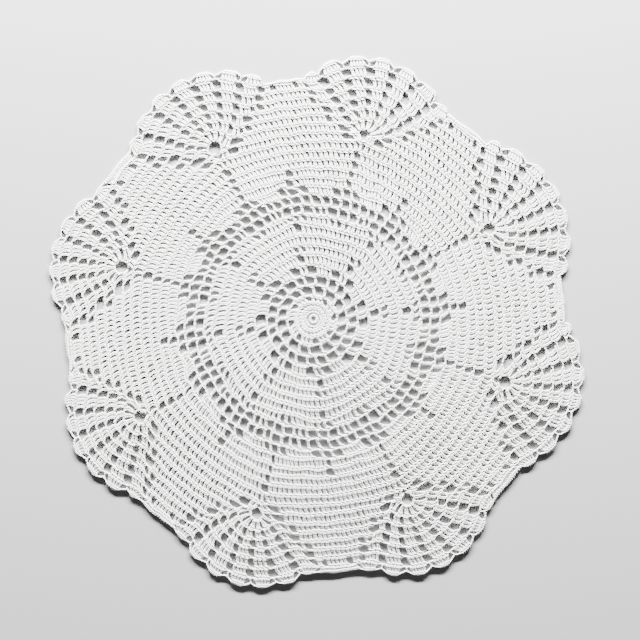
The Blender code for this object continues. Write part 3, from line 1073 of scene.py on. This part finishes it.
# %% [markdown]
# ## Finishes
# The cotton needs three things that come and go over its surface: the twist of its plies, the
# fuzz of its fibres, and a grey painted in as shade low between the stitches. The table needs a
# faint grain. Effects like these could be repeated in each material, but a node group with named
# inputs and outputs is made once, and each material sets its own values. The groups give out
# only values; the shader itself stays in the material.

# %% Helpers for node trees
Socket = namedtuple("Socket", "name kind")
COLOUR_A, COLOUR_B, COLOUR_OUT = 6, 7, 2


def value_group(name, inputs, outputs):
    """Return a new shader node group with its input and output nodes."""
    group = bpy.data.node_groups.new(name, "ShaderNodeTree")
    for direction, sockets in (("INPUT", inputs), ("OUTPUT", outputs)):
        for socket in sockets:
            group.interface.new_socket(
                socket.name, in_out=direction, socket_type="NodeSocket" + socket.kind
            )
    return group, group.nodes.new("NodeGroupInput"), group.nodes.new("NodeGroupOutput")


def calculate(tree, operation, *values):
    """Return the output of a math node; each value is a number or another node's output."""
    node = tree.nodes.new("ShaderNodeMath")
    node.operation = operation
    for socket, value in zip(node.inputs, values):
        if isinstance(value, (int, float)):
            socket.default_value = value
        else:
            tree.links.new(value, socket)
    return node.outputs[0]


def mix_colours(tree, share, first, second):
    """Return the output of a node that goes from one colour to another by a share."""
    node = tree.nodes.new("ShaderNodeMix")
    node.data_type = "RGBA"
    tree.links.new(share, node.inputs[0])
    node.inputs[COLOUR_A].default_value = first
    node.inputs[COLOUR_B].default_value = second
    return node.outputs[COLOUR_OUT]


def use_group(tree, group, **values):
    """Return a group's node in a tree, its inputs set to numbers or linked to outputs."""
    node = tree.nodes.new("ShaderNodeGroup")
    node.node_tree = group
    for name, value in values.items():
        socket = node.inputs[name.replace("_", " ")]
        if isinstance(value, (int, float)):
            socket.default_value = value
        else:
            tree.links.new(value, socket)
    return node


def new_finish(name):
    """Return a new material, its shader and the output of its object coordinates."""
    finish = bpy.data.materials.new(name)
    finish.use_nodes = True
    nodes = finish.node_tree.nodes
    return finish, nodes["Principled BSDF"], nodes.new("ShaderNodeTexCoord").outputs["Object"]


def add_relief(tree, shader, raised, depth):
    """Raise the surface by up to this many millimetres where the height is one."""
    relief = tree.nodes.new("ShaderNodeBump")
    relief.inputs["Distance"].default_value = depth * MM
    tree.links.new(raised, relief.inputs["Height"])
    tree.links.new(relief.outputs[0], shader.inputs["Normal"])


print("groups so far:", len(bpy.data.node_groups))

# %% [markdown]
# ## Twist
# Crochet cotton is three plies twisted into one thread, and each ply shows as a rounded band that
# climbs round the thread. Modelling the plies would triple the mesh. A stripe pattern on the
# thread's own UV map costs nothing: distance along it and round it are added, so that the stripes
# slant, and the top half of a circle is used for each stripe's height.

# %% Plied twist
GROOVE_POWER = 3.0
plied_twist, given, result = value_group(
    "plied_twist",
    (Socket("Thread", "Vector"), Socket("Turn", "Float"), Socket("Plies", "Float")),
    (Socket("Height", "Float"), Socket("Groove", "Float")),
)
parts = plied_twist.nodes.new("ShaderNodeSeparateXYZ")
plied_twist.links.new(given.outputs["Thread"], parts.inputs[0])
turns = calculate(plied_twist, "DIVIDE", parts.outputs["X"], given.outputs["Turn"])
climb = calculate(plied_twist, "ADD", turns, parts.outputs["Y"])
bands = calculate(plied_twist, "MULTIPLY", climb, given.outputs["Plies"])
stripe = calculate(plied_twist, "FRACT", bands)
off_middle = calculate(plied_twist, "MULTIPLY_ADD", stripe, 2.0, -1.0)
fall = calculate(plied_twist, "MULTIPLY", off_middle, off_middle)
crown = calculate(plied_twist, "SQRT", calculate(plied_twist, "SUBTRACT", 1.0, fall))
groove = calculate(plied_twist, "POWER", fall, GROOVE_POWER)
plied_twist.links.new(crown, result.inputs["Height"])
plied_twist.links.new(groove, result.inputs["Groove"])
print("plied_twist nodes:", len(plied_twist.nodes))

# %% [markdown]
# ## Grain
# Fibres on cotton and the tooth of a painted table top are both fine, even noise, and so, much
# larger, are the slow clouds of its colour. A noise node for each would do, but one group with its
# size as an input serves them all.

# %% Fine grain
fine_grain, given, result = value_group(
    "fine_grain",
    (Socket("Place", "Vector"), Socket("Per metre", "Float"), Socket("Detail", "Float")),
    (Socket("Grain", "Float"),),
)
speckle = fine_grain.nodes.new("ShaderNodeTexNoise")
fine_grain.links.new(given.outputs["Place"], speckle.inputs["Vector"])
fine_grain.links.new(given.outputs["Per metre"], speckle.inputs["Scale"])
fine_grain.links.new(given.outputs["Detail"], speckle.inputs["Detail"])
fine_grain.links.new(speckle.outputs[0], result.inputs["Grain"])
print("fine_grain nodes:", len(fine_grain.nodes))

# %% [markdown]
# ## White cotton
# Washed cotton is a soft white with hardly any shine. A flat white would look like plastic. Its
# colour is painted a little greyer as shade in the grooves of the twist and low down between the
# stitches, and turns greyer in slow clouds where many washes have left it uneven. Its sheen comes
# from loose fibres that catch grazing light, and it is the same all over, so it is set straight
# on the shader.

# %% Cotton material
WHITE = (0.745, 0.745, 0.735, 1.0)
# GREY serves both the real grey of clouds and fibres and the painted shade in grooves and low
# places.
GREY = (0.50, 0.50, 0.48, 1.0)
PLIES = 3
FIBRES, FIBRE_DETAIL = 2600.0, 3.0
CLOUDS, CLOUD_DETAIL = 22.0, 2.0
# Painted shade: below HIGH mm above the table the cotton is painted greyer, most at LOW mm.
LOW, HIGH = 0.3, 1.3
# Painted shade: the grooves of the twist are painted greyer.
GROOVE_SHADE = 0.22
LOW_SHADE = 0.20
CLOUD_GREY = 0.10
FIBRE_GREY = 0.10
ROUGH_LEAST, ROUGH_MOST = 0.74, 0.90
RELIEF = 0.05
FUZZ = 0.35
SHINE = {"Sheen Weight": 0.12, "Sheen Roughness": 0.5, "Specular IOR Level": 0.35}

cotton, shader, surface = new_finish("white_cotton")
tree = cotton.node_tree
thread_map = tree.nodes.new("ShaderNodeUVMap")
thread_map.uv_map = "thread"
twist = use_group(tree, plied_twist, Thread=thread_map.outputs[0], Turn=TWIST, Plies=float(PLIES))
fibres = use_group(tree, fine_grain, Place=surface, Per_metre=FIBRES, Detail=FIBRE_DETAIL)
clouds = use_group(tree, fine_grain, Place=surface, Per_metre=CLOUDS, Detail=CLOUD_DETAIL)
height = tree.nodes.new("ShaderNodeSeparateXYZ")
tree.links.new(surface, height.inputs[0])
# Painted shade low between the stitches: full at LOW, none at HIGH.
painted_low_shade = tree.nodes.new("ShaderNodeMapRange")
painted_low_shade.inputs["From Min"].default_value = HIGH * MM
painted_low_shade.inputs["From Max"].default_value = LOW * MM
tree.links.new(height.outputs["Z"], painted_low_shade.inputs["Value"])
print("cotton turns once in, mm:", TWIST, "with plies:", PLIES)

# %% Cotton colour, roughness and relief
# Painted shade in the twist's grooves and low down, mixed with the real grey of clouds and fibres.
tone_and_shade = calculate(tree, "MULTIPLY", twist.outputs["Groove"], GROOVE_SHADE)
tone_and_shade = calculate(tree, "MULTIPLY_ADD", painted_low_shade.outputs[0], LOW_SHADE, tone_and_shade)
tone_and_shade = calculate(tree, "MULTIPLY_ADD", clouds.outputs["Grain"], CLOUD_GREY, tone_and_shade)
tone_and_shade = calculate(tree, "MULTIPLY_ADD", fibres.outputs["Grain"], FIBRE_GREY, tone_and_shade)
tree.links.new(mix_colours(tree, tone_and_shade, WHITE, GREY), shader.inputs["Base Color"])
roughness = calculate(
    tree, "MULTIPLY_ADD", fibres.outputs["Grain"], ROUGH_MOST - ROUGH_LEAST, ROUGH_LEAST
)
tree.links.new(roughness, shader.inputs["Roughness"])
for socket, value in SHINE.items():
    shader.inputs[socket].default_value = value
raised = calculate(tree, "MULTIPLY_ADD", fibres.outputs["Grain"], FUZZ, twist.outputs["Height"])
add_relief(tree, shader, raised, RELIEF)
print("cotton nodes:", len(tree.nodes), "relief, mm:", RELIEF)

# %% [markdown]
# ## Table finish
# The table top is a matt light grey, plain, so that nothing competes with the lace, and a little
# darker than the cotton, so that the lace stands out. It only needs a breath of variation and a
# fine tooth, which keep it from looking like empty background.

# %% Table material
TABLE_LIGHT = (0.31, 0.31, 0.312, 1.0)
TABLE_DARK = (0.29, 0.29, 0.292, 1.0)
TABLE_ROUGHNESS = 0.9
TOOTH, TOOTH_DETAIL = 700.0, 2.0
TOOTH_DEPTH = 0.02

paint, shader, surface = new_finish("pale_matt_table")
tree = paint.node_tree
tooth = use_group(tree, fine_grain, Place=surface, Per_metre=TOOTH, Detail=TOOTH_DETAIL)
colour = mix_colours(tree, tooth.outputs["Grain"], TABLE_LIGHT, TABLE_DARK)
tree.links.new(colour, shader.inputs["Base Color"])
shader.inputs["Roughness"].default_value = TABLE_ROUGHNESS
add_relief(tree, shader, tooth.outputs["Grain"], TOOTH_DEPTH)
table.data.materials.append(paint)
print("table finish nodes:", len(tree.nodes))

# %% [markdown]
# ## Start ring
# The doily begins with a ring of thread wound round a finger and drawn tight. Its turns lie side
# by side and on each other, round the small hole in the very middle. The outer turns lie flat
# below the first posts and close the gaps between them.

# %% Turns of the start ring
StartTurn = namedtuple("StartTurn", "radius height")
START_TURNS = (
    StartTurn(2.00, 0.50),
    StartTurn(2.80, 0.60),
    StartTurn(2.00, 1.25),
    StartTurn(2.70, 1.35),
    StartTurn(3.50, 0.45),
    StartTurn(4.40, 0.45),
    StartTurn(5.30, 0.45),
    StartTurn(6.20, 0.45),
)
START_STEP = 20


def start_ring():
    """Return the closed turns of thread in the middle of the doily."""
    turns = []
    for turn in START_TURNS:
        path = []
        for degrees in range(0, FULL_TURN, START_STEP):
            angle = math.radians(degrees)
            path.append((turn.radius * math.cos(angle), turn.radius * math.sin(angle), turn.height))
        turns.append(Strand(path, True))
    return turns


print("turns of the start ring:", len(start_ring()))

# %% [markdown]
# ## The lace in pieces
# The doily could be one mesh, but a mesh of a million triangles is heavy to pick up. Neighbouring
# rounds share a piece instead, and the pieces lie in each other as the rounds do. First the
# middle, from the start ring to the eyes of the fans.

# %% Pieces of the middle
MIDDLE_PIECES = {
    "centre": range(0, 10),
    "mesh_ring": range(10, 14),
    "panels_inner": range(14, 17),
    "panels_outer": range(17, 20),
}
lace = {}


def add_piece(name, rounds, first_strands=()):
    """Work these rounds of cells in order and keep their thread as one piece of lace."""
    strands = list(first_strands)
    for cells in rounds:
        strands += work_round(cells)
    lace[name] = thread_piece(name, pinned_out(strands))


for name, numbers in MIDDLE_PIECES.items():
    add_piece(name, map(middle_round, numbers), start_ring() if name == "centre" else ())

# %% [markdown]
# ## Outer pieces
# The rounds of fans and panels follow in pairs, then the edging.

# %% Pieces of the fans and the edging
FAN_PIECES = {"fans_inner": range(0, 2), "fans_middle": range(2, 4), "fans_outer": range(4, 6)}
for name, rows in FAN_PIECES.items():
    add_piece(name, map(fan_round_cells, rows))
add_piece("edging", [edging_cells()])
total = sum(2 * len(piece.data.polygons) for piece in lace.values())
print("pieces:", len(lace), "triangles in all:", total)

# %% [markdown]
# ## Stand in for the fixed frame
# The frame's own doily is a plain sheet with cut holes. Every piece of lace rides on the same
# body, takes the sheet's place and carries the cotton finish.

# %% Dress the sheet
for piece in lace.values():
    piece.data.materials.append(cotton)
    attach(piece, "root")
    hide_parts("doily")
print("dressed with", cotton.name)

# %% [markdown]
# The ring of large mesh stands for all of it: it is a plain ring between two radii, so its size and
# area are easy to give, and the other pieces go with it.

# %% [markdown]
# ## Both boxes
# The box of the fixed frame and the box of the lace are printed at the end, side by side.

# %% Print both boxes and finish
lace_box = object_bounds()
boxes = {
    "cad": [list(corner) for corner in cad_box],
    "visual": [list(corner) for corner in lace_box],
}
for name, box in boxes.items():
    print(name, "box, mm:", [[round(value / MM, 1) for value in corner] for corner in box])
